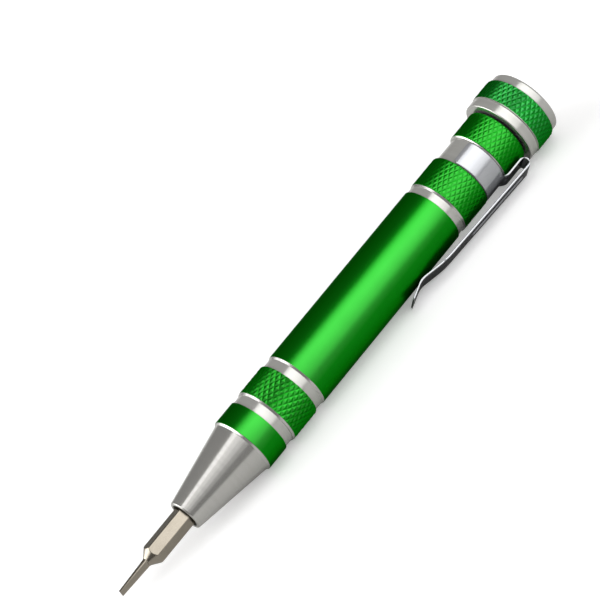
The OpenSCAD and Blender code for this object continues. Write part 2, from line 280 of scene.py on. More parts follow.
def rub_group() -> Tree:
    """Builds faint rub marks and hairline scratches that run mostly along the tool.

    Returns:
        Group with a mask of the marks.
    """
    tree = shader_group("rub marks", {"Place": None, "Length": 6.0, "Width": 0.1}, ("Mask",))
    wires = Wiring(tree)
    start = tree.nodes["input"].outputs
    split = wires.node("ShaderNodeSeparateXYZ", {0: start["Place"]}).outputs
    long = wires.sum("DIVIDE", 1.0 / MM, start["Length"])
    fine = wires.sum("DIVIDE", 1.0 / MM, start["Width"])
    spots = [wires.sum("MULTIPLY", split[i], (long, fine, fine)[i]) for i in range(3)]
    place = wires.node("ShaderNodeCombineXYZ", dict(enumerate(spots))).outputs[0]
    sources = {"Vector": place, "Scale": 1.0, "Detail": 2.0}
    noise = wires.node("ShaderNodeTexNoise", sources, noise_dimensions="3D")
    faintest = 0.55
    fullest = 0.75
    mask = wires.spread(noise.outputs[0], 0.0, 1.0, faintest, fullest)
    wires.feed(tree.nodes["output"].inputs["Mask"], mask)
    return tree


class Groups:
    """The shader groups that the finishes share, each built once."""

    def __init__(self) -> None:
        """Builds the groups."""
        self.grain = grain_group()
        self.turning = turning_group()
        self.rub = rub_group()


class MaterialMaker:
    """A material with its Principled shader, and the shared groups placed in it."""

    def __init__(self, name: str, groups: Groups) -> None:
        """Starts an empty material.

        Args:
            name: Name of the finish.
            groups: The shared shader groups.
        """
        self.material = bpy.data.materials.new(name)
        self.material.use_nodes = True
        self.groups = groups
        self.wires = Wiring(self.material.node_tree)
        self.shader = self.material.node_tree.nodes["Principled BSDF"]
        self.place = self.wires.node("ShaderNodeTexCoord").outputs["Object"]

    def feed(self, **sources: object) -> None:
        """Feeds sockets of the shader, named with _ for a space."""
        for key, source in sources.items():
            self.wires.feed(self.shader.inputs[key.replace("_", " ")], source)

    def grain(self, size: float, drift: float) -> Node:
        """Places the fine grain, with its two sizes in millimetres."""
        sources = {"Place": self.place, "Size": size, "Drift": drift}
        return self.wires.node("ShaderNodeGroup", sources, node_tree=self.groups.grain)

    def rub(self, length: float, width: float) -> Socket:
        """Places the rub marks, with their size in millimetres."""
        sources = {"Place": self.place, "Length": length, "Width": width}
        return self.wires.node("ShaderNodeGroup", sources, node_tree=self.groups.rub).outputs[0]

    def turning(self, pitch: float, bands: float) -> Node:
        """Places the turning lines on the piece's own turning map.

        Args:
            pitch: Distance between lines in millimetres.
            bands: Length of the broader changes in millimetres.

        Returns:
            The group's node.
        """
        turned = self.wires.node("ShaderNodeUVMap", uv_map="turning").outputs[0]
        along = self.wires.node("ShaderNodeSeparateXYZ", {0: turned}).outputs[1]
        sources = {"Along": along, "Pitch": pitch, "Bands": bands}
        return self.wires.node("ShaderNodeGroup", sources, node_tree=self.groups.turning)

    def slant(self, start: float, end: float) -> Socket:
        """Rises from 0 to 1 between two measures of how far aslant the surface is seen."""
        facing = self.wires.node("ShaderNodeLayerWeight").outputs["Facing"]
        return self.wires.spread(facing, 0.0, 1.0, start, end)

    def bump(self, height: Wire, depth: float, strength: float) -> None:
        """Gives the shader a bump of a depth in millimetres, from a height between 0 and 1."""
        sources = {"Strength": strength, "Distance": depth * MM, "Height": height}
        self.feed(Normal=self.wires.node("ShaderNodeBump", sources).outputs[0])


@dataclass(frozen=True)
class Recipe:
    """A finish with its full and its dull colour, which can be built as a material."""

    finish: Finish
    colour: Colour
    dull: Colour

    def dress(self, maker: MaterialMaker) -> None:
        """Wires the finish into an empty material."""
        raise NotImplementedError

    def tone(self, maker: MaterialMaker, mask: Wire) -> Socket:
        """Mixes the dull and the full colour by a mask."""
        return maker.wires.tint(mask, self.dull, self.colour)

    def material(self, groups: Groups) -> bpy.types.Material:
        """Builds the material.

        Args:
            groups: The shared shader groups.

        Returns:
            The finished material.
        """
        maker = MaterialMaker(self.finish.value, groups)
        self.dress(maker)
        return maker.material


@dataclass(frozen=True)
class AnodisedFinish(Recipe):
    """Dyed satin anodising: a metal under a thin oxide that looks deeper where it is seen aslant."""

    slanted: Colour
    edge: Colour = (0.008, 0.25, 0.012)
    slant: Pair = (0.06, 0.18)
    roughness: float = 0.34
    play: float = 0.03
    coat: float = 0.03
    coat_roughness: float = 0.3
    grain: Pair = (0.16, 4.0)
    rub: Pair = (9.0, 0.25)
    bump: Pair = (0.012, 0.35)

    def dress(self, maker: MaterialMaker) -> None:
        """Wires the finish.

        Args:
            maker: The empty material.
        """
        wires = maker.wires
        grain = maker.grain(*self.grain).outputs
        rough = wires.sum("ADD", wires.spread(grain["Fine"], -self.play, self.play), self.roughness)
        marks = wires.sum("MULTIPLY", maker.rub(*self.rub), self.play)
        maker.feed(
            Metallic=1.0,
            Specular_Tint=(*self.edge, 1.0),
            Coat_Weight=self.coat,
            Coat_Roughness=self.coat_roughness,
            Base_Color=wires.tint(maker.slant(*self.slant), self.tone(maker, grain["Broad"]), self.slanted),
            Roughness=wires.sum("SUBTRACT", rough, marks),
        )
        maker.bump(grain["Fine"], *self.bump)


@dataclass(frozen=True)
class TurnedFinish(Recipe):
    """Bare metal with the lines of the turning tool."""

    roughness: float
    metallic: float = 1.0
    line_strength: float = 0.3
    line_depth: float = 0.006
    pitch: float = 0.09
    bands: float = 0.8
    play: float = 0.03
    rub: Pair = (5.0, 0.2)

    def dress(self, maker: MaterialMaker) -> None:
        """Wires the finish.

        Args:
            maker: The empty material.
        """
        wires = maker.wires
        lines = maker.turning(self.pitch, self.bands).outputs
        rough = wires.spread(lines["Tone"], self.roughness + self.play, self.roughness - self.play)
        marks = wires.sum("MULTIPLY", maker.rub(*self.rub), self.play)
        maker.feed(
            Metallic=self.metallic,
            Base_Color=self.tone(maker, lines["Tone"]),
            Roughness=wires.sum("ADD", rough, marks),
        )
        maker.bump(lines["Lines"], self.line_depth, self.line_strength)


@dataclass(frozen=True)
class PlainMetalFinish(Recipe):
    """Rolled, plated or ground metal with faint rub marks along the tool; an aslant share below 1 paints
    shade that darkens it where seen aslant.
    """

    roughness: float
    metallic: float = 1.0
    # Share of the colour and edge tint left where seen aslant; below 1 it is painted shade standing in for
    # a reflected shaded floor.
    aslant: float = 1.0
    slant: Pair = (0.55, 0.8)
    grain: Pair = (0.12, 2.5)
    rub: Pair = (4.0, 0.08)
    rub_rough: float = 0.06
    bump: Pair = (0.004, 0.25)

    def dress(self, maker: MaterialMaker) -> None:
        """Wires the finish.

        Args:
            maker: The empty material.
        """
        wires = maker.wires
        rub = maker.rub(*self.rub)
        metal = self.tone(maker, maker.grain(*self.grain).outputs["Broad"])
        darker = tuple(self.aslant * value for value in self.dull)
        maker.feed(
            Metallic=self.metallic,
            Specular_Tint=(self.aslant, self.aslant, self.aslant, 1.0),
            Base_Color=wires.tint(maker.slant(*self.slant), metal, darker),
            Roughness=wires.sum("ADD", wires.sum("MULTIPLY", rub, self.rub_rough), self.roughness),
        )
        maker.bump(rub, *self.bump)


@dataclass(frozen=True)
class MouldedFinish(Recipe):
    """Moulded rubber or plastic with a fine mould grain."""

    roughness: float
    grain: Pair = (0.2, 3.0)
    play: float = 0.08
    bump: Pair = (0.02, 0.4)

    def dress(self, maker: MaterialMaker) -> None:
        """Wires the finish.

        Args:
            maker: The empty material.
        """
        grain = maker.grain(*self.grain).outputs
        ends = (self.roughness - self.play, self.roughness + self.play)
        maker.feed(
            Base_Color=self.tone(maker, grain["Broad"]),
            Roughness=maker.wires.spread(grain["Fine"], *ends),
        )
        maker.bump(grain["Fine"], *self.bump)


class Palette:
    """All the finishes of the tool as materials."""

    RECIPES: ClassVar = (
        AnodisedFinish(Finish.GREEN, (0.037, 0.385, 0.04), (0.032, 0.345, 0.035), (0.005, 0.28, 0.008)),
        AnodisedFinish(Finish.CAP_GREEN, (0.048, 0.43, 0.09), (0.043, 0.39, 0.08), (0.009, 0.27, 0.024)),
        TurnedFinish(Finish.BRIGHT, (0.56, 0.557, 0.53), (0.50, 0.495, 0.468), 0.18, 0.54),
        TurnedFinish(Finish.SATIN, (0.60, 0.592, 0.567), (0.54, 0.532, 0.51), 0.19, 0.82, 0.2),
        TurnedFinish(Finish.FACED, (0.66, 0.65, 0.63), (0.58, 0.57, 0.55), 0.24, 0.88),
        # The strap's aslant share of 0.2 is painted shade: grazing faces are darkened to stand for the
        # reflected shade under the clip's arm.
        PlainMetalFinish(Finish.STRAP, (0.52, 0.53, 0.55), (0.47, 0.48, 0.505), 0.15, 0.64, 0.2),
        PlainMetalFinish(Finish.NICKEL, (0.36, 0.325, 0.27), (0.30, 0.27, 0.22), 0.2),
        PlainMetalFinish(Finish.STEEL, (0.56, 0.54, 0.51), (0.44, 0.43, 0.41), 0.3),
        MouldedFinish(Finish.RUBBER, (0.016, 0.016, 0.017), (0.008, 0.008, 0.009), 0.55),
        MouldedFinish(Finish.PLASTIC, (0.06, 0.064, 0.07), (0.045, 0.048, 0.053), 0.42, (0.35, 3.0)),
        PlainMetalFinish(Finish.BRASS, (0.83, 0.62, 0.28), (0.70, 0.50, 0.20), 0.24),
    )

    def __init__(self) -> None:
        """Builds every material."""
        groups = Groups()
        self.of = {recipe.finish: recipe.material(groups) for recipe in self.RECIPES}

    def dress_nodes(self, finish: Finish, *nodes: str) -> None:
        """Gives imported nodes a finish.

        Args:
            finish: The finish.
            nodes: Names of the nodes.
        """
        for node in nodes:
            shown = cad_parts[node].data
            shown.materials.clear()
            shown.materials.append(self.of[finish])
            LOG.info("node %s: %s", node, finish.value)


def finished_mesh(mesh: bpy.types.Mesh, sharp: float) -> None:
    """Closes a mesh's seams, points its faces outwards and sets its smooth shading.

    Args:
        mesh: The mesh to finish.
        sharp: Angle in degrees above which an edge stays sharp.
    """
    work = bmesh.new()
    work.from_mesh(mesh)
    bmesh.ops.remove_doubles(work, verts=work.verts, dist=SEAM)
    bmesh.ops.dissolve_degenerate(work, dist=SLIVER, edges=work.edges)
    bmesh.ops.recalc_face_normals(work, faces=work.faces)
    work.to_mesh(mesh)
    work.free()
    mesh.polygons.foreach_set("use_smooth", np.ones(len(mesh.polygons), bool))
    mesh.set_sharp_from_angle(angle=math.radians(sharp))
    mesh.update()


@dataclass
class Skin:
    """A surface of rings of points, each ring closed, that becomes one piece."""

    name: str
    points: np.ndarray
    closed: bool = False
    sharp: float = 28.0
    finishes: Sequence[Finish] = ()
    ring_finish: Sequence[int] = ()
    along: Sequence[float] = ()

    def build(self, palette: Palette) -> Object:
        """Makes the piece.

        Args:
            palette: The finishes as materials.

        Returns:
            The new object, at the origin.
        """
        rings, count = self.points.shape[:2]
        faces = []
        marks = []
        uvs = []
        along = list(self.along) or [float(i) for i in range(rings)]
        along.append(along[-1] + 1.0)
        girth = [float(np.linalg.norm(np.roll(p, -1, 0) - p, axis=1).sum() / MM) for p in self.points]
        for i in range(rings if self.closed else rings - 1):
            j = (i + 1) % rings
            for k in range(count):
                m = (k + 1) % count
                faces.append((i * count + k, i * count + m, j * count + m, j * count + k))
                marks.append(self.ring_finish[i] if self.ring_finish else 0)
                u0 = girth[i] * k / count
                u1 = girth[i] * (k + 1) / count
                uvs.extend((u0, along[i], u1, along[i], u1, along[i + 1], u0, along[i + 1]))
        if not self.closed:
            for i, order in ((0, range(count - 1, -1, -1)), (rings - 1, range(count))):
                faces.append([i * count + k for k in order])
                marks.append(marks[0] if i == 0 else marks[-1])
                for k in order:
                    uvs.extend((girth[i] * k / count, along[i]))
        mesh = bpy.data.meshes.new(self.name)
        mesh.from_pydata(self.points.reshape(-1, 3).tolist(), [], faces)
        mesh.polygons.foreach_set("material_index", marks)
        mesh.uv_layers.new(name="turning").data.foreach_set("uv", uvs)
        for finish in self.finishes:
            mesh.materials.append(palette.of[finish])
        finished_mesh(mesh, self.sharp)
        made = bpy.data.objects.new(self.name, mesh)
        bpy.context.scene.collection.objects.link(made)
        return made


@dataclass(frozen=True)
class Cut:
    """A corner of a turned outline, and the finish of the run that starts there."""

    z: float
    r: float
    finish: Finish
    soft: float = 0.0


@dataclass
class Turning:
    """A piece turned on the lathe, from the corners of its outline."""

    name: str
    cuts: Sequence[Cut]
    closed: bool = True
    segments: int = 192
    bend_steps: int = 5
    bend_share: float = 0.45

    def outline(self) -> tuple[np.ndarray, list[Finish]]:
        """Rounds the corners of the outline.

        Returns:
            The points as station and radius, and the finish of the run after each of them.
        """
        corners = np.array([(cut.z, cut.r) for cut in self.cuts])
        points: list[np.ndarray] = []
        finishes: list[Finish] = []
        count = len(corners)
        for i, cut in enumerate(self.cuts):
            inner = self.closed or 0 < i < count - 1
            if cut.soft <= 0.0 or not inner:
                points.append(corners[i])
                finishes.append(cut.finish)
                continue
            ends = (corners[i - 1], corners[(i + 1) % count])
            limits = [self.bend_share * np.linalg.norm(end - corners[i]) for end in ends]
            points.extend(bend(ends[0], corners[i], ends[1], min(cut.soft, *limits), self.bend_steps))
            half = (self.bend_steps + 1) // 2
            finishes.extend([self.cuts[i - 1].finish] * half + [cut.finish] * half)
        return np.array(points), finishes

    def build(self, palette: Palette) -> Object:
        """Makes the piece.

        Args:
            palette: The finishes as materials.

        Returns:
            The new object.
        """
        outline, run_finish = self.outline()
        used = list(dict.fromkeys(run_finish))
        angle = np.linspace(0, 2 * math.pi, self.segments, endpoint=False)
        grid = tool_points(outline[:, :1], outline[:, 1:], angle)
        steps = np.linalg.norm(np.diff(outline, axis=0), axis=1)
        along = np.concatenate(([0.0], np.cumsum(steps))).tolist()
        marks = [used.index(finish) for finish in run_finish]
        skin = Skin(self.name, grid, self.closed, finishes=used, ring_finish=marks, along=along)
        return skin.build(palette)


class KnurlTree:
    """Geometry Nodes tree for a ring with a knurl or a screw thread cut into it."""

    FLOATS = ("Start", "Length", "Radius", "Core", "Depth", "Bevel", "Flat", "Columns", "Rows", "Cross")
    INPUTS = (
        ("Geometry", ("Geometry",)),
        ("Float", FLOATS),
        ("Int", ("Around", "Along")),
        ("Material", ("Material",)),
    )
    WALL_ROWS = 2.0

    def __init__(self) -> None:
        """Builds the tree."""
        self.tree = bpy.data.node_groups.new("cut ring", "GeometryNodeTree")
        sockets = self.tree.interface
        for kind, names in self.INPUTS:
            for name in names:
                sockets.new_socket(name, in_out="INPUT", socket_type=f"NodeSocket{kind}")
        sockets.new_socket("Geometry", in_out="OUTPUT", socket_type="NodeSocketGeometry")
        self.wires = Wiring(self.tree)
        self.start = self.tree.nodes.new("NodeGroupInput").outputs
        self.wire()

    def surface(self, x: Wire, y: Wire) -> tuple[Wire, Wire, Wire]:
        """Wires the station, radius and angle of a grid point.

        The grid's first and last two rows make the ring's inner wall, so that the ring is closed.

        Args:
            x: Place across the grid, from -0.5 to 0.5, which runs round the ring.
            y: Place along the grid, from -0.5 to 0.5, which runs along the ring.

        Returns:
            Place along X, radius and angle.
        """
        do = self.wires.sum
        get = self.start
        turn = do("ADD", x, 0.5)
        last = do("SUBTRACT", get["Along"], 1.0)
        row = do("MULTIPLY", do("ADD", y, 0.5), last)
        inset = do("MINIMUM", row, do("SUBTRACT", last, row))
        wall = self.WALL_ROWS
        core = do("LESS_THAN", inset, wall - 0.5)
        middle = do("LESS_THAN", inset, 0.5)
        share = do("DIVIDE", do("SUBTRACT", row, wall), do("SUBTRACT", last, 2 * wall), clamp=True)
        across = do("MULTIPLY", turn, get["Columns"])
        ahead = do("MULTIPLY", share, get["Rows"])
        right = do("MULTIPLY", do("PINGPONG", do("SUBTRACT", across, ahead), 0.5), 2.0)
        left = do("MULTIPLY", do("PINGPONG", do("ADD", across, ahead), 0.5), 2.0)
        left = do("MAXIMUM", left, do("SUBTRACT", 1.0, get["Cross"]))
        height = do("DIVIDE", do("MINIMUM", right, left), get["Flat"], clamp=True)
        cut = do("SUBTRACT", get["Radius"], do("MULTIPLY", get["Depth"], do("SUBTRACT", 1.0, height)))
        edge = do("MULTIPLY", do("MINIMUM", share, do("SUBTRACT", 1.0, share)), get["Length"])
        bevel = do("ADD", do("SUBTRACT", get["Radius"], get["Bevel"]), edge)
        outer = do("MINIMUM", cut, bevel)
        radius = do("ADD", outer, do("MULTIPLY", core, do("SUBTRACT", get["Core"], outer)))
        reach = do("MULTIPLY", share, get["Length"])
        half = do("MULTIPLY", get["Length"], 0.5)
        reach = do("ADD", reach, do("MULTIPLY", middle, do("SUBTRACT", half, reach)))
        along = do("SUBTRACT", reach, do("ADD", get["Start"], get["Length"]))
        return along, radius, do("MULTIPLY", turn, 2 * math.pi)

    def wire(self) -> None:
        """Wires the whole tree."""
        do = self.wires.sum
        make = self.wires.node
        counts = {"Vertices X": self.start["Around"], "Vertices Y": self.start["Along"]}
        shape = make("GeometryNodeMeshGrid", {"Size X": 1.0, "Size Y": 1.0, **counts}).outputs["Mesh"]
        split = make("ShaderNodeSeparateXYZ", {0: make("GeometryNodeInputPosition").outputs[0]}).outputs
        along, radius, angle = self.surface(split[0], split[1])
        y = do("MULTIPLY", radius, do("COSINE", angle))
        z = do("MULTIPLY", radius, do("SINE", angle))
        place = make("ShaderNodeCombineXYZ", {0: along, 1: y, 2: z}).outputs[0]
        for kind, sources in (
            ("GeometryNodeSetPosition", {"Position": place}),
            ("GeometryNodeMergeByDistance", {"Distance": WELD}),
            ("GeometryNodeSetShadeSmooth", {"Shade Smooth": False}),
            ("GeometryNodeRealizeInstances", {}),
            ("GeometryNodeSetMaterial", {"Material": self.start["Material"]}),
        ):
            shape = make(kind, {"Geometry": shape, **sources}).outputs[0]
        make("NodeGroupOutput", {0: shape})

    def piece(self, name: str, values: dict[str, object]) -> Object:
        """Runs the tree with its inputs and keeps the result as a plain mesh.

        Args:
            name: Name of the piece.
            values: Every input but Geometry, lengths in metres.

        Returns:
            The new object with no modifier left.
        """
        made = bpy.data.objects.new(name, bpy.data.meshes.new(name))
        bpy.context.scene.collection.objects.link(made)
        modifier = made.modifiers.new("cut ring", "NODES")
        modifier.node_group = self.tree
        for socket in self.tree.interface.items_tree:
            if socket.in_out == "INPUT" and socket.name in values:
                modifier[socket.identifier] = values[socket.name]
        graph = bpy.context.evaluated_depsgraph_get()
        mesh = bpy.data.meshes.new_from_object(made.evaluated_get(graph))
        made.modifiers.clear()
        empty = made.data
        made.data = mesh
        bpy.data.meshes.remove(empty)
        mesh.name = name
        return made


@dataclass
class CutRing:
    """A knurled or threaded ring, with its sizes in millimetres."""

    name: str
    start: float
    end: float
    radius: float
    core: float
    columns: int
    rows: float
    depth: float = 0.16
    flat: float = 0.8
    bevel: float = 0.1
    cross: bool = True
    fine: int = 10
    around: int = 0
    finish: Finish = Finish.GREEN

    def build(self, tree: KnurlTree, palette: Palette) -> Object:
        """Makes the ring.

        Args:
            tree: The Geometry Nodes tree.
            palette: The finishes as materials.

        Returns:
            The new object.
        """
        lengths = {
            "Start": self.start,
            "Length": self.end - self.start,
            "Radius": self.radius,
            "Core": self.core,
            "Depth": self.depth,
            "Bevel": self.bevel,
        }
        values = {
            "Flat": self.flat,
            "Columns": float(self.columns),
            "Rows": self.rows,
            "Cross": float(self.cross),
            "Around": (self.around or self.columns * self.fine) + 1,
            "Along": round(self.rows * self.fine + 2 * tree.WALL_ROWS) + 1,
            "Material": palette.of[self.finish],
        }
        values.update({key: value * MM for key, value in lengths.items()})
        return tree.piece(self.name, values)


def settle(piece: Object, body: str, slot: str, *nodes: str) -> None:
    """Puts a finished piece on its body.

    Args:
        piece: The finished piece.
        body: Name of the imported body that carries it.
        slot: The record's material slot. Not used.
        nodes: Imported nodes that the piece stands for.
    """
    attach(piece, body)
    if nodes:
        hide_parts(*nodes)
    LOG.info("%s rides on %s, %d faces", piece.name, body, len(piece.data.polygons))


@dataclass
class Assembly:
    """A sub-assembly of the tool, with what its pieces are made with."""

    palette: Palette
    tree: KnurlTree

    def turn(self, name: str, cuts: Sequence[Cut], closed: bool = True) -> Object:
        """Makes a turned piece from the corners of its outline."""
        return Turning(name, cuts, closed).build(self.palette)


@dataclass
class Barrel(Assembly):
    """The green tube: smooth grip, three knurled bands, bright grooves and the bare neck."""

    core_r: float = 6.25
    rear_core_r: float = 6.27
    under_r: float = 6.29
    front_bevel: float = 0.2
    neck_bevel: float = 0.1
    rear_bevel: float = 0.06
    bevel_drop: float = 0.23
    ring_gap: float = 0.02
    front_reach: float = 0.22
    front_edge: float = 0.03
    edge_soft: float = 0.04
    groove_soft: float = 0.4
    neck_soft: float = 0.2
    fine_depth: float = 0.075
    fine_flat: float = 0.6
    rear_knurl: Pair = (38, 3.4)
    middle_knurl: Pair = (38, 3.8)
    front_knurl: Pair = (36, 3.6)

    def rise(self, z: float) -> list[Cut]:
        """Corners where a smooth green stretch starts, at its end nearer the tail."""
        low = Cut(z, SIZES.barrel_r - self.rear_bevel, Finish.BRIGHT)
        return [low, Cut(z + self.rear_bevel, SIZES.barrel_r, Finish.GREEN, self.edge_soft)]

    def sunk(self, z0: float, z1: float) -> list[Cut]:
        """Corners of a bright groove between two stations, with a rounded corner nearer the bit."""
        low = Cut(z0 + self.front_bevel, SIZES.groove_r, Finish.BRIGHT)
        return [low, Cut(z1, SIZES.groove_r, Finish.BRIGHT, self.groove_soft)]

    def under(self, z0: float, z1: float, r: float, bevel: float) -> list[Cut]:
        """Corners of a stretch under a knurled ring, with a bright bevel at the end nearer the bit.

        Args:
            z0: Station nearer the tail.
            z1: Station nearer the bit.
            r: Radius over the knurl.
            bevel: Half the bevel's length.

        Returns:
            Four corners.
        """
        return [
            Cut(z0, self.under_r, Finish.GREEN),
            Cut(z1 - bevel, self.under_r, Finish.BRIGHT),
            Cut(z1 - bevel, r - self.ring_gap, Finish.FACED),
            Cut(z1 + bevel, r - self.bevel_drop, Finish.BRIGHT),
        ]

    def cuts(self) -> list[Cut]:
        """Corners of the whole closed outline.

        Returns:
            The corners, outside first.
        """
        s = SIZES
        green = Finish.GREEN
        end = s.z_front + self.front_reach
        wide = self.front_bevel
        return [
            *self.under(s.z_barrel, s.z_neck, s.barrel_r, self.neck_bevel),
            Cut(s.z_neck + self.neck_bevel, s.neck_r, Finish.BRIGHT),
            Cut(s.z_mid_band, s.neck_r, Finish.BRIGHT, self.neck_soft),
            *self.under(s.z_mid_band, s.z_rear_groove, s.barrel_r, wide),
            *self.sunk(s.z_rear_groove, s.z_grip),
            *self.rise(s.z_grip),
            Cut(s.z_mid_groove - wide, s.barrel_r, Finish.FACED, self.edge_soft),
            Cut(s.z_mid_groove + wide, s.barrel_r - self.bevel_drop, Finish.BRIGHT),
            *self.sunk(s.z_mid_groove, s.z_front_band),
            *self.under(s.z_front_band, s.z_front_groove, s.front_band_r, wide),
            *self.sunk(s.z_front_groove, s.z_front_ring),
            *self.rise(s.z_front_ring),
            Cut(end - self.front_edge, s.barrel_r, green),
            Cut(end, s.barrel_r - self.front_edge, green),
            Cut(end, s.bore_r, green),
            Cut(s.z_seal_seat, s.bore_r, green),
            Cut(s.z_seal_seat, s.seal_seat_r, green),
            Cut(s.z_barrel, s.seal_seat_r, green),
        ]

    def rings(self) -> list[CutRing]:
        """Knurled bands of the tube.

        Returns:
            The rear, middle and front band.
        """
        s = SIZES
        r = s.barrel_r
        wide = s.front_band_r
        core = self.core_r
        rear = CutRing("knurl_rear", s.z_barrel, s.z_neck, r, self.rear_core_r, *self.rear_knurl)
        middle = CutRing("knurl_middle", s.z_mid_band, s.z_rear_groove, r, core, *self.middle_knurl)
        front = CutRing("knurl_front", s.z_front_band, s.z_front_groove, wide, core, *self.front_knurl)
        rear.bevel = 2 * self.neck_bevel
        for ring in (rear, middle):
            ring.depth = self.fine_depth
            ring.flat = self.fine_flat
        for ring, bevel in ((rear, self.neck_bevel), (middle, self.front_bevel), (front, self.front_bevel)):
            ring.start += self.ring_gap
            ring.end -= bevel
        return [rear, middle, front]

    def build(self) -> None:
        """Makes the barrel and its knurled bands."""
        settle(self.turn("barrel_shell", self.cuts()), "handle", "green_anodised", "barrel")
        for ring in self.rings():
            settle(ring.build(self.tree, self.palette), "handle", "green_anodised")


@dataclass
class Nose(Assembly):
    """The bare cone with its lip, round rim and socket."""

    front_reach: float = 0.23
    spigot_bevel: float = 0.15
    spigot_room: float = 0.005
    lip_len: float = 0.36
    lip_drop: float = 0.03
    lip_soft: float = 0.04
    cone_rise: float = 0.02
    cone_soft: float = 0.1
    mouth_reach: float = 0.2
    rim_soft: float = 0.4
    mouth_soft: float = 0.12
    magnet_r: float = 2.0
    magnet_len: float = 3.0

    def cuts(self) -> list[Cut]:
        """Corners of the open outline.

        Returns:
            The corners from the inner end on the axis to the magnet's seat.
        """
        s = SIZES
        metal = Finish.SATIN
        start = s.z_front + self.front_reach
        mouth = s.z_mouth + self.mouth_reach
        spigot_r = s.bore_r - self.spigot_room
        return [
            Cut(s.z_spigot, 0.0, metal),
            Cut(s.z_spigot, s.bore_r - self.spigot_bevel, metal),
            Cut(s.z_spigot + self.spigot_bevel, spigot_r, metal),
            Cut(start, spigot_r, Finish.BRIGHT),
            Cut(start, s.barrel_r - self.lip_drop, Finish.FACED, self.lip_soft),
            Cut(start + self.lip_len, s.cone_r + self.cone_rise, metal, self.cone_soft),
            Cut(mouth, s.rim_r, Finish.BRIGHT, self.rim_soft),
            Cut(mouth, s.sleeve_r, metal, self.mouth_soft),
            Cut(s.z_seat, s.sleeve_r, metal),
            Cut(s.z_seat, self.magnet_r, metal),
            Cut(s.z_seat - self.magnet_len, self.magnet_r, metal),
            Cut(s.z_seat - self.magnet_len, 0.0, metal),
        ]

    def build(self) -> None:
        """Makes the nose and dresses what is in it."""
        settle(self.turn("nose_shell", self.cuts(), closed=False), "handle", "bare_metal", "nose_cone")
        self.palette.dress_nodes(Finish.STEEL, "socket_sleeve")
        self.palette.dress_nodes(Finish.NICKEL, "bit_magnet")


@dataclass
class SlotBit(Assembly):
    """The slotted hexagon bit in the nose."""

    length: float = 28.0
    hex_len: float = 18.6
    shoulder_len: float = 1.9
    shank_r: float = 0.95
    blade_w: float = 1.5
    blade_t: float = 0.35
    root_share: float = 2.4
    flat_start: float = 0.4
    flat_reach: float = 1.2
    flat_turn: float = math.radians(30.0)
    seat_gap: float = 0.02
    corner_wear: float = 0.05
    base_len: float = 0.5
    base_bevel: float = 0.3
    base_slope: float = 0.75
    lead: float = 0.2
    trail: float = 0.3
    tip_len: float = 0.06
    tip_wear: float = 0.02
    tip_share: float = 0.85
    segments: int = 240
    rows: tuple[int, ...] = (11, 6, 45, 40)
    sharp: float = 22.0

    def stations(self) -> np.ndarray:
        """Distances from the bit's base where its section is drawn.

        Returns:
            Rising distances, dense where the section changes.
        """
        start = self.hex_len - self.lead
        end = self.hex_len + self.shoulder_len + self.trail
        ends = (0.0, self.base_len, start, end, self.length - self.tip_len)
        runs = [np.linspace(a, b, count) for a, b, count in zip(ends, ends[1:], self.rows)]
        return np.unique(np.concatenate((*runs, (self.length - self.tip_len / 2, self.length))))

    def radius(self, z: np.ndarray, angle: np.ndarray) -> np.ndarray:
        """Radius of the bit's surface.

        Args:
            z: Distances from the base.
            angle: Angles from the clip.

        Returns:
            Radii in millimetres.
        """
        hex_r = SIZES.hex_r
        neck = self.hex_len + self.shoulder_len
        flat_way = np.mod(angle, math.pi / 3) - math.pi / 6
        hexagon = np.minimum(hex_r * math.cos(math.pi / 6) / np.cos(flat_way), hex_r - self.corner_wear)
        base = hex_r - self.base_bevel + self.base_slope * z
        shoulder = hex_r + (z - self.hex_len) * (self.shank_r - hex_r) / self.shoulder_len
        share = np.clip((z - neck) / (self.length - neck), 0, 1)
        shank = self.shank_r + (self.blade_w / 2 - self.shank_r) * share
        body = np.where(z < neck, np.minimum(np.minimum(hexagon, base), shoulder), shank)
        root = self.root_share * self.blade_t / 2
        marks = (self.hex_len + self.flat_start * self.shoulder_len, neck + root / 2, self.length)
        half = np.interp(z, marks, (self.flat_reach * hex_r, root, self.blade_t / 2))
        end = np.where(z > self.length - self.tip_wear, self.tip_share, 1.0)
        slope = np.maximum(np.abs(np.cos(angle - self.flat_turn)), TINY)
        return np.minimum(body, end * half / slope)

    def build(self) -> None:
        """Makes the bit."""
        z = self.stations()
        angle = np.linspace(0, 2 * math.pi, self.segments, endpoint=False)
        radius = self.radius(z[:, None], angle)
        points = tool_points(SIZES.z_seat + self.seat_gap + z[:, None], radius, angle)
        skin = Skin("slot_bit", points, sharp=self.sharp, finishes=[Finish.NICKEL], along=z.tolist())
        settle(skin.build(self.palette), "bit", "nickel", "driver_bit")


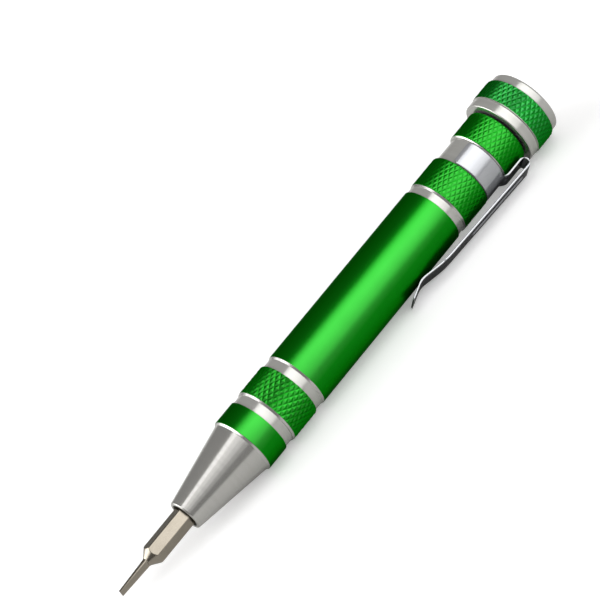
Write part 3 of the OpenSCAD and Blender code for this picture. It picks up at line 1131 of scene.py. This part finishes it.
@dataclass
class TailCap(Assembly):
    """The knurled cap with its bright ring, threaded plug, end disc and seal."""

    under_r: float = 7.7
    core_r: float = 7.6
    bevel: float = 0.15
    collar: float = 0.12
    collar_drop: float = 0.1
    collar_edge: float = 0.06
    edge_soft: float = 0.05
    plug_soft: float = 0.1
    plug_step: float = 0.25
    plug_bevel: float = 0.2
    plug_round: float = 0.15
    stub_r: float = 2.0
    stub_room: float = 0.06
    stub_soft: float = 0.2
    thread_start: float = 10.3
    thread_len: float = 5.25
    thread_core: float = 4.7
    thread_room: float = 0.06
    thread_depth: float = 0.34
    thread_bevel: float = 0.3
    thread_flat: float = 0.86
    thread_sides: int = 96
    thread_turns: Pair = (1, 7.0)
    knurl: Pair = (43, 2.5)
    end_len: float = 2.0
    end_round: float = 0.6
    end_bevel: float = 0.12
    end_soft: float = 0.04
    groove_r: float = 1.5
    retainer_z: float = 4.75
    retainer_t: float = 0.6
    stub_end: float = 6.35

    def cap_cuts(self) -> list[Cut]:
        """Corners of the cap's closed outline, from the hole's rear edge round the outside and the cavity.

        Returns:
            The corners.
        """
        s = SIZES
        green = Finish.CAP_GREEN
        bright = Finish.BRIGHT
        hole = self.stub_r + self.stub_room
        low = s.cap_ring_r - self.bevel
        collar = s.z_ring - self.collar
        thread_end = self.thread_start + self.thread_len
        thread_r = self.thread_core + self.thread_room
        lead_r = s.plug_r - self.plug_step
        return [
            Cut(s.z_cap, hole, green),
            Cut(s.z_cap, self.under_r, bright),
            Cut(collar, self.under_r, bright),
            Cut(collar, s.cap_r - self.collar_drop, bright),
            Cut(s.z_ring - self.collar_edge, s.cap_r - self.collar_drop, bright),
            Cut(s.z_ring, low, bright),
            Cut(s.z_ring + self.bevel, s.cap_ring_r, bright, self.edge_soft),
            Cut(s.z_rim - self.bevel, s.cap_ring_r, bright, self.edge_soft),
            Cut(s.z_rim, low, Finish.FACED, self.edge_soft),
            Cut(s.z_rim, s.plug_r, green, self.plug_soft),
            Cut(self.thread_start, s.plug_r, green),
            Cut(self.thread_start, thread_r, green),
            Cut(thread_end, thread_r, green),
            Cut(thread_end, lead_r, green),
            Cut(s.z_plug - self.plug_round, lead_r, green, self.edge_soft),
            Cut(s.z_plug, lead_r - self.plug_bevel, green, self.edge_soft),
            Cut(s.z_plug, s.cavity_r, green),
            Cut(s.z_floor, s.cavity_r, green),
            Cut(s.z_floor, hole, green),
        ]

    def disc_cuts(self) -> list[Cut]:
        """Corners of the end disc's open outline, from the tail's centre to the stub's end.

        Returns:
            The corners.
        """
        rim = SIZES.disc_r
        retainer_end = self.retainer_z + self.retainer_t
        corners = (
            (0.0, 0.0, 0.0),
            (0.0, rim, self.end_round),
            (self.end_len - self.end_bevel, rim, self.end_soft),
            (self.end_len, rim - self.end_bevel, self.end_soft),
            (self.end_len, self.stub_r, 0.0),
            (self.retainer_z, self.stub_r, 0.0),
            (self.retainer_z, self.groove_r, 0.0),
            (retainer_end, self.groove_r, 0.0),
            (retainer_end, self.stub_r, 0.0),
            (self.stub_end, self.stub_r, self.stub_soft),
            (self.stub_end, 0.0, 0.0),
        )
        return [Cut(z, r, Finish.BRIGHT, soft) for z, r, soft in corners]

    def rings(self) -> list[CutRing]:
        """Cut rings of the cap.

        Returns:
            The cap's knurl and the plug's thread.
        """
        s = SIZES
        knurl = CutRing("knurl_cap", s.z_cap, s.z_ring - self.collar, s.cap_r, self.core_r, *self.knurl)
        start = self.thread_start
        core = self.thread_core
        thread = CutRing("plug_thread", start, start + self.thread_len, s.plug_r, core, *self.thread_turns)
        thread.depth = self.thread_depth
        thread.bevel = self.thread_bevel
        thread.flat = self.thread_flat
        thread.around = self.thread_sides
        thread.cross = False
        return [knurl, thread]

    def build(self) -> None:
        """Makes the cap, its knurl and thread, and the end disc, and dresses the seal."""
        settle(self.turn("cap_shell", self.cap_cuts()), "cap", "green_anodised", "tail_cap")
        for ring in self.rings():
            ring.finish = Finish.CAP_GREEN
            settle(ring.build(self.tree, self.palette), "cap", "green_anodised")
        disc = self.turn("end_disc_turned", self.disc_cuts(), closed=False)
        settle(disc, "finger_disc", "bare_metal", "end_disc")
        self.palette.dress_nodes(Finish.RUBBER, "seal_ring")
        self.palette.dress_nodes(Finish.STEEL, "disc_retainer")
        self.palette.dress_nodes(Finish.BRASS, "rack_catch")


@dataclass
class Station:
    """One section of the clip's sheet."""

    point: np.ndarray
    out: np.ndarray
    across: np.ndarray
    half: float
    bow: float = 0.0
    rib: float = 0.0
    thick: float = 1.0


@dataclass
class SpringClip(Assembly):
    """The clip of one bent sheet: a band round the neck, a hairpin, and the arm with its pressed rib."""

    thickness: float = 0.42
    width: float = 5.3
    band_r: float = 6.226
    band_front: float = 21.1
    band_rear: float = 15.9
    band_span: float = 225.0
    band_corner: float = 0.8
    tongue_start: float = 17.4
    tongue_rho: float = 6.836
    step_start: float = 16.5
    step_end: float = 15.75
    step_soft: float = 0.4
    bow_start: float = 15.2
    bow_run: float = 1.6
    tucked_z: float = 16.6
    tucked_share: float = 0.94
    hairpin_z: float = 11.41
    hairpin_rho: float = 7.786
    hairpin_r: float = 0.95
    hairpin_steps: int = 24
    turned_share: float = 0.6
    bend_z: float = 36.71
    bend_rho: float = 7.926
    bend_soft: float = 2.0
    contact_z: float = 42.61
    contact_rho: float = 6.66
    contact_soft: float = 1.0
    tip_z: float = 46.85
    tip_rho: float = 7.92
    tip_corner: float = 0.45
    tip_margin: float = 0.05
    rib_start: float = 12.36
    rib_end: float = 29.36
    rib_run: float = 1.2
    rib_half: float = 0.85
    rib_rise: float = 0.24
    pip_z: float = 36.6
    pip_width: float = 0.3
    pip_rise: float = 0.14
    pip_reach: float = 0.5
    edge: float = 0.13
    edge_share: float = 0.8
    edge_round: float = 0.3
    end_soft: float = 0.04
    columns: int = 29
    bend_steps: int = 8
    band_steps: int = 96
    sharp: float = 40.0
    outline_step: float = 0.35
    blend_rho: float = 8.66
    blend_slope: float = 0.1
    blend_len: float = 0.935

    def path(self) -> np.ndarray:
        """Centre line of the tongue, hairpin and arm, as stations and distances from the axis.

        Returns:
            Points from the band to the tip, with rounded bends.
        """
        tongue = [
            (self.tongue_start, self.band_r, 0.0),
            (self.step_start, self.band_r, self.step_soft),
            (self.step_end, self.tongue_rho, self.step_soft),
            (self.hairpin_z, self.tongue_rho, 0.0),
        ]
        arm = [
            (self.hairpin_z, self.hairpin_rho + self.hairpin_r, 0.0),
            (self.bend_z, self.bend_rho, self.bend_soft),
            (self.contact_z, self.contact_rho, self.contact_soft),
            (self.tip_z, self.tip_rho, 0.0),
        ]
        a = math.radians(270) - math.pi * np.arange(1, self.hairpin_steps) / self.hairpin_steps
        turn = np.array((self.hairpin_z, self.hairpin_rho))
        turn = turn + self.hairpin_r * np.stack((np.cos(a), np.sin(a)), axis=1)
        return np.concatenate((self.rounded(tongue), turn, self.rounded(arm)))

    def rounded(self, corners: Sequence[tuple[float, float, float]]) -> np.ndarray:
        """Rounds the bends of a line and sets points along it.

        Args:
            corners: Station, distance from the axis and how far along the line the bend reaches.

        Returns:
            Points along the line, close together.
        """
        spots = [np.array(corner[:2]) for corner in corners]
        line: list[np.ndarray] = []
        for i, (_, _, soft) in enumerate(corners):
            if soft > 0.0:
                line.extend(bend(spots[i - 1], spots[i], spots[i + 1], soft, self.bend_steps))
            else:
                line.append(spots[i])
        dense: list[np.ndarray] = []
        for a, b in zip(line[:-1], line[1:]):
            steps = max(1, math.ceil(np.linalg.norm(b - a) / self.outline_step))
            dense.extend(a + (b - a) * k / steps for k in range(steps))
        return np.array([*dense, line[-1]])

    def dense_tip(self, line: np.ndarray) -> np.ndarray:
        """Sets the points of the tip closer together, so that its corners are round.

        Args:
            line: Points along the sheet, as stations and distances from the axis.

        Returns:
            The points with new ones near the tip.
        """
        tip = line[-1]
        far = np.linalg.norm(line - tip, axis=1) > self.tip_corner + self.tip_margin
        back = (line[-2] - tip) / np.linalg.norm(line[-2] - tip)
        reach = self.tip_corner * (1 - np.cos(np.linspace(math.pi / 2, 0, self.bend_steps + 1)))
        return np.concatenate((line[far], tip + reach[:, None] * back))

    def end_share(self, left: float) -> float:
        """Share of the sheet's thickness at a distance from a rounded end, 1 beyond the rounding."""
        cut = max(0.0, self.end_soft - left)
        return 1 - (self.end_soft - math.sqrt(self.end_soft**2 - cut**2)) / (self.thickness / 2)

    def section(self, station: Station) -> np.ndarray:
        """Closed section of the sheet at one station.

        Args:
            station: Where the section lies.

        Returns:
            Points in millimetres, outer face first.
        """
        t = self.thickness / 2 * station.thick
        e = min(self.edge, self.edge_share * t)
        cut = self.edge_round * e
        half = station.half
        flat = np.linspace(-half + e, half - e, self.columns)
        rise = station.rib * np.cos(np.clip(flat / self.rib_half, -1, 1) * math.pi / 2) ** 2
        rise[np.abs(flat) >= self.rib_half] = 0.0
        corner = [(half - cut, t - cut), (half, t - e), (half, e - t), (half - cut, cut - t)]
        loop = [(w, t + h) for w, h in zip(flat, rise)]
        loop += corner
        loop += [(w, h - t) for w, h in zip(flat[::-1], rise[::-1])]
        loop += [(-w, h) for w, h in reversed(corner)]
        side, drop = np.array(loop).T
        if station.bow > 0.0:
            turn = side * station.bow
            reach = 1 / station.bow + drop
            side = np.sin(turn) * reach
            drop = np.cos(turn) * reach - 1 / station.bow
        return station.point + side[:, None] * station.across + drop[:, None] * station.out

    def shape_arm(self, here: Station, z: float, rho: float, left: float) -> None:
        """Gives a section of the hairpin or the arm its rib, pips and rounded end.

        Args:
            here: The section to change.
            z: Its station.
            rho: Its distance from the axis.
            left: Its distance from the tip.
        """
        if rho > self.hairpin_rho:
            share = float(np.clip(min(z - self.rib_start, self.rib_end - z) / self.rib_run, 0, 1))
            here.rib = -self.rib_rise * share**2 * (3 - 2 * share)
        if rho < self.hairpin_rho + self.pip_reach:
            here.half += self.pip_rise * math.exp(-(((z - self.pip_z) / self.pip_width) ** 2))
        corner = max(0.0, self.tip_corner - left)
        here.half -= self.tip_corner - math.sqrt(max(0.0, self.tip_corner**2 - corner**2))
        here.thick = self.end_share(left)

    def arm_rings(self) -> list[np.ndarray]:
        """Rings of points of the tongue, hairpin and arm.

        Returns:
            Closed rings from the band to the tip.
        """
        line = self.dense_tip(self.path())
        ways = np.gradient(line, axis=0)
        ways /= np.linalg.norm(ways, axis=1)[:, None]
        turned = False
        made = []
        for (z, rho), (dz, drho) in zip(line, ways):
            turned = turned or z < self.hairpin_z - self.turned_share * self.hairpin_r
            out = drho * TAIL_WAY - dz * CLIP_WAY
            here = Station(z * -TAIL_WAY + rho * CLIP_WAY, out, SIDE_WAY, self.width / 2)
            if turned:
                self.shape_arm(here, z, rho, math.hypot(z - line[-1][0], rho - line[-1][1]))
            else:
                here.bow = float(np.clip((z - self.bow_start) / self.bow_run, 0, 1)) / self.band_r
                here.thick = self.tucked_share if z > self.tucked_z else 1.0
            made.append(self.section(here))
        return made

    def band_rings(self) -> list[np.ndarray]:
        """Rings of points of the band round the neck.

        Returns:
            Closed rings from one end of the band to the other.
        """
        middle = (self.band_front + self.band_rear) / 2
        full = (self.band_front - self.band_rear) / 2
        span = math.radians(self.band_span) / 2
        c = self.band_corner
        ends = span - c / self.band_r * (1 - np.cos(np.linspace(0, math.pi / 2, self.bend_steps + 1)))
        between = np.linspace(-ends[-1], ends[-1], self.band_steps + 1)[1:-1]
        angles = np.concatenate((-ends, between, ends[::-1]))
        made = []
        for a in angles:
            left = (span - abs(a)) * self.band_r
            cut = max(0.0, c - left)
            half = full - c + math.sqrt(max(0.0, c * c - cut * cut))
            out = round_way(a)
            here = Station(middle * -TAIL_WAY + self.band_r * out, out, TAIL_WAY, half)
            here.thick = self.end_share(left)
            made.append(self.section(here))
        return made

    def build(self) -> None:
        """Makes the clip as one mesh, its sheet shaped round the hairpin."""
        pieces = []
        for name, rings in (("spring_clip", self.arm_rings()), ("clip_band_strip", self.band_rings())):
            skin = Skin(name, np.array(rings) * MM, sharp=self.sharp, finishes=[Finish.STRAP])
            pieces.append(skin.build(self.palette))
        clip, band = pieces
        work = bmesh.new()
        work.from_mesh(clip.data)
        work.from_mesh(band.data)
        work.to_mesh(clip.data)
        work.free()
        bpy.data.objects.remove(band)
        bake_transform(clip)
        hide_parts("clip_band", "clip_arm")
        LOG.info("%s bends between handle and arm, %d faces", clip.name, len(clip.data.polygons))


@dataclass
class SpareBits(Assembly):
    """The rack inside the barrel and the six bits in it."""

    pairs: tuple[str, ...] = ("cross_small", "cross_large", "star_small", "star_large")
    singles: tuple[str, ...] = ("hexagon", "slot_wide")

    def dress(self) -> None:
        """Gives the rack and its bits their finishes."""
        self.palette.dress_nodes(Finish.PLASTIC, "bit_rack")
        self.palette.dress_nodes(Finish.NICKEL, *(f"spare_{tip}" for tip in self.pairs + self.singles))


@dataclass(frozen=True)
class Panel:
    """A flat soft light: its direction from the tool, its place, size in metres and brightness."""

    name: str
    way: tuple[float, float, float]
    distance: float
    size: Pair
    glow: float
    shift: float = 0.0


@dataclass
class Studio:
    """Pale floor, soft lights and the camera at the photograph's angle."""

    FRONT: ClassVar = (
        (93.0, 1.6),
        (104.0, 2.0),
        (128.0, 1.8),
        (144.0, 1.45),
        (158.0, 1.2),
        (170.0, 0.5),
        (178.0, 0.0),
    )
    NEAR_NOSE: ClassVar = ((86.0, 1.25), (104.0, 0.75), (122.0, 0.52), (138.0, 0.22), (154.0, 0.0))
    BEVEL_BOXES: ClassVar = (
        Panel("side_box", (-0.59, 0.75, 0.29), 0.8, (0.45, 0.4), 1.9),
        Panel("slant_box", (-0.75, 0.51, 0.42), 0.8, (0.35, 0.4), 1.9),
        Panel("end_box", (-0.87, 0.23, 0.44), 0.8, (0.35, 0.4), 1.8),
        Panel("top_box", (-0.54, 0.35, 0.76), 0.8, (0.22, 0.6), 1.9),
    )

    aim_station: float = 59.8
    aim_pixel: Pair = (337.3, 330.3)
    axis_pixels: Pair = (0.6346, -0.7728)
    distance: float = 563.0
    tail_tilt: float = 16.7
    clip_turn: float = 80.5
    focal_pixels: float = 3006.0
    frame_pixels: float = 600.0
    sensor: float = 36.0
    sight: Pair = (0.02, 20.0)
    lamp_gain: float = 4.0
    front_span: Pair = (0.02, 0.8)
    nose_span: Pair = (-0.35, 0.02)
    backdrop: Colour = (0.95, 0.95, 0.95)
    surround: Colour = (0.19, 0.187, 0.183)
    floor_seen: Colour = (0.84, 0.84, 0.84)
    floor_glow: Colour = (0.31, 0.31, 0.31)
    floor_lit: Colour = (0.62, 0.62, 0.61)
    floor_gap: float = 0.12
    floor_pivot: float = 0.004
    floor_half: float = 2.5
    floor_tilt: float = 1.05
    floor_rough: float = 0.9
    floor_shine: float = 0.1
    box_distance: float = 0.75

    def camera(self) -> None:
        """Makes the camera so that the tool's axis falls where the photograph has it."""
        tilt = math.radians(self.tail_tilt)
        facing = round_way(math.radians(self.clip_turn))
        beside = round_way(math.radians(self.clip_turn - 90.0))
        back = math.cos(tilt) * facing - math.sin(tilt) * TAIL_WAY
        tail = math.cos(tilt) * TAIL_WAY + math.sin(tilt) * facing
        u, v = self.axis_pixels
        right = u * tail - v * beside
        up = -v * tail - u * beside
        dx = self.aim_pixel[0] - self.frame_pixels / 2
        dy = self.aim_pixel[1] - self.frame_pixels / 2
        ahead = -back * self.focal_pixels - dx * right + dy * up
        ahead /= np.linalg.norm(ahead)
        right -= right.dot(ahead) * ahead
        right /= np.linalg.norm(right)
        up = np.cross(right, ahead)
        place = (back * self.distance - self.aim_station * TAIL_WAY) * MM
        lens = bpy.data.cameras.new("photo_camera")
        lens.sensor_fit = "HORIZONTAL"
        lens.sensor_width = self.sensor
        lens.lens = self.sensor * self.focal_pixels / self.frame_pixels
        lens.clip_start, lens.clip_end = self.sight
        made = bpy.data.objects.new("photo_camera", lens)
        rows = zip(right, up, -ahead, place)
        made.matrix_world = Matrix([list(map(float, r)) for r in rows] + [[0.0, 0.0, 0.0, 1.0]])
        bpy.context.scene.collection.objects.link(made)
        bpy.context.scene.camera = made

    def panel(self, panel: Panel) -> None:
        """Makes a flat soft light that faces the tool.

        Args:
            panel: Where the light is and how bright its face is.
        """
        lamp = bpy.data.lights.new(panel.name, "AREA")
        lamp.shape = "RECTANGLE"
        lamp.size, lamp.size_y = panel.size
        lamp.energy = self.lamp_gain * panel.glow * lamp.size * lamp.size_y
        out = Vector(panel.way).normalized()
        along = (TAIL_VECTOR - TAIL_VECTOR.dot(out) * out).normalized()
        side = out.cross(along)
        place = out * panel.distance + TAIL_VECTOR * panel.shift
        made = bpy.data.objects.new(panel.name, lamp)
        rows = [(along[i], side[i], out[i], place[i]) for i in range(3)]
        made.matrix_world = Matrix(rows + [(0.0, 0.0, 0.0, 1.0)])
        made.visible_camera = False
        bpy.context.scene.collection.objects.link(made)

    def softbox(self, name: str, span: Pair, steps: Sequence[Pair]) -> None:
        """Makes a graded soft light beside the tool's axis, from flat strips.

        Args:
            name: Name of the light.
            span: Its two ends along X in metres.
            steps: Angle round the axis in degrees from +Y towards +Z where each strip starts, and the
                strip's brightness. The last step is the end of the light.
        """
        middle = (span[0] + span[1]) / 2
        for i, ((low, glow), (high, _)) in enumerate(zip(steps[:-1], steps[1:])):
            turn = math.radians((low + high) / 2)
            height = 2 * self.box_distance * math.tan(math.radians((high - low) / 2))
            way = (0.0, math.cos(turn), math.sin(turn))
            size = (span[1] - span[0], height)
            self.panel(Panel(f"{name}_{i}", way, self.box_distance, size, glow, middle))

    def lights(self) -> None:
        """Makes the lights and the soft grey surround."""
        self.softbox("front_box", self.front_span, self.FRONT)
        self.softbox("nose_box", self.nose_span, self.NEAR_NOSE)
        for box in self.BEVEL_BOXES:
            self.panel(box)
        world = bpy.data.worlds.new("studio")
        bpy.context.scene.world = world
        world.use_nodes = True
        wires = Wiring(world.node_tree)
        seen = wires.node("ShaderNodeLightPath").outputs["Is Camera Ray"]
        shade = world.node_tree.nodes["Background"]
        wires.feed(shade.inputs["Color"], wires.tint(seen, self.surround, self.backdrop))

    def floor(self) -> None:
        """Makes the floor, which leans a little so that the tool lies on its cap and its front band."""
        mesh = bpy.data.meshes.new("floor")
        slope = math.tan(math.radians(self.floor_tilt))
        height = -(SIZES.cap_r + self.floor_gap) * MM
        h = self.floor_half
        spots = ((-h, -h), (h, -h), (h, h), (-h, h))
        ends = [(x, y, height - (x + self.floor_pivot) * slope) for x, y in spots]
        mesh.from_pydata(ends, [], [(0, 1, 2, 3)])
        made = bpy.data.objects.new("floor", mesh)
        bpy.context.scene.collection.objects.link(made)
        paint = bpy.data.materials.new("pale floor")
        paint.use_nodes = True
        shader = paint.node_tree.nodes["Principled BSDF"]
        wires = Wiring(paint.node_tree)
        seen = wires.node("ShaderNodeLightPath").outputs["Is Camera Ray"]
        wires.feed(shader.inputs["Base Color"], wires.tint(seen, self.floor_lit, self.floor_seen))
        wires.feed(shader.inputs["Emission Color"], wires.tint(seen, (0.0, 0.0, 0.0), self.floor_glow))
        shader.inputs["Emission Strength"].default_value = 1.0
        shader.inputs["Roughness"].default_value = self.floor_rough
        shader.inputs["Specular IOR Level"].default_value = self.floor_shine
        mesh.materials.append(paint)

    def build(self) -> None:
        """Makes the whole studio."""
        self.camera()
        self.lights()
        self.floor()
        view = bpy.context.scene.view_settings
        view.view_transform = "Standard"
        view.look = "None"


def main() -> None:
    """Builds the pieces in order and dresses them."""
    logging.basicConfig(level=logging.INFO, format="%(message)s")
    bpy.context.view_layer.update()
    Studio().build()
    palette = Palette()
    tree = KnurlTree()
    Barrel(palette, tree).build()
    Nose(palette, tree).build()
    SlotBit(palette, tree).build()
    TailCap(palette, tree).build()
    SpringClip(palette, tree).build()
    SpareBits(palette, tree).dress()


if __name__ == "__main__":
    main()
